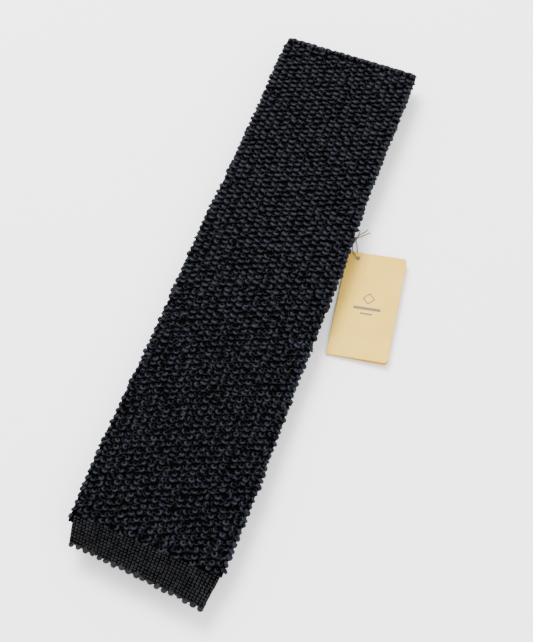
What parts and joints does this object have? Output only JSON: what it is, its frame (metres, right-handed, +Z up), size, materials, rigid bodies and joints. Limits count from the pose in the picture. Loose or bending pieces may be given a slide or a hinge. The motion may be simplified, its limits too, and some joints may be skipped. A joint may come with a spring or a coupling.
{
  "type": "knitted necktie",
  "caption": "Square-ended knitted necktie folded flat, with a fine hem band, a keeper loop on its back and a folded swing tag on a thread.",
  "frame": {"origin": "on the table under the middle of the folded tie, in the back face of the tail panel", "axes": "+Y along the folded tie towards its top fold, +X across it towards the swing tag, +Z up from the table"},
  "size_m": [0.1223, 0.3374, 0.0176],
  "materials": {
    "knit_nubs": "near-black silk yarn in a crunchy raised-loop knit",
    "knit_fine": "near-black silk yarn in a fine plain knit",
    "sewing_thread": "black sewing thread",
    "woven_label": "plain dark woven label with no text",
    "satin_label": "plain white satin tape with no text",
    "tag_card": "matt cream card with a plain brown mark and no text",
    "tag_thread": "taupe waxed thread"
  },
  "bodies": {
    "tail": {"tail_panel": "knit_nubs", "tail_seam": "knit_fine", "tail_hem_band": "knit_fine", "tail_hem_edge": "knit_fine", "tail_fold": "knit_nubs"},
    "neck": {"neck_panel": "knit_nubs", "mid_fold": "knit_nubs"},
    "shoulder": {"shoulder_panel": "knit_nubs", "blade_fold": "knit_nubs"},
    "blade": {"wide_blade": "knit_nubs", "wide_seam": "knit_fine", "wide_hem_band": "knit_fine", "wide_hem_edge": "knit_fine", "edge_stitch": "knit_nubs", "keeper_loop": "knit_fine", "keeper_tack_left": "sewing_thread", "keeper_tack_right": "sewing_thread", "brand_label": "woven_label", "label_stitch_left": "sewing_thread", "label_stitch_right": "sewing_thread", "care_label": "satin_label", "care_stitch": "sewing_thread"},
    "tag": {"tag_back_leaf": "tag_card", "tag_thread": "tag_thread", "thread_knot": "tag_thread", "thread_end": "tag_thread"},
    "tag_cover": {"tag_cover_leaf": "tag_card"}
  },
  "joints": [
    {"name": "tail_unfold", "type": "hinge", "parent": "tail", "child": "neck", "pos_m": [0, 0.1615, 0.0038], "axis": [-1, 0, 0], "range_deg": [0, 180], "deforming": ["tail_fold"]},
    {"name": "mid_unfold", "type": "hinge", "parent": "neck", "child": "shoulder", "pos_m": [0, -0.156, 0.0078], "axis": [1, 0, 0], "range_deg": [0, 180], "deforming": ["mid_fold"]},
    {"name": "blade_unfold", "type": "hinge", "parent": "shoulder", "child": "blade", "pos_m": [0, 0.1632, 0.0128], "axis": [-1, 0, 0], "range_deg": [0, 180], "deforming": ["blade_fold"]},
    {"name": "tag_swing", "type": "hinge", "parent": "blade", "child": "tag", "pos_m": [0.04125, 0.0546, 0.0158], "axis": [0, 0, 1], "range_deg": [-8, 40]},
    {"name": "tag_cover_open", "type": "hinge", "parent": "tag", "child": "tag_cover", "pos_m": [0.0387, 0.048, 0.00155], "axis": [0.1392, -0.9903, 0], "range_deg": [0, 30], "deforming": ["tag_thread"]}
  ]
}
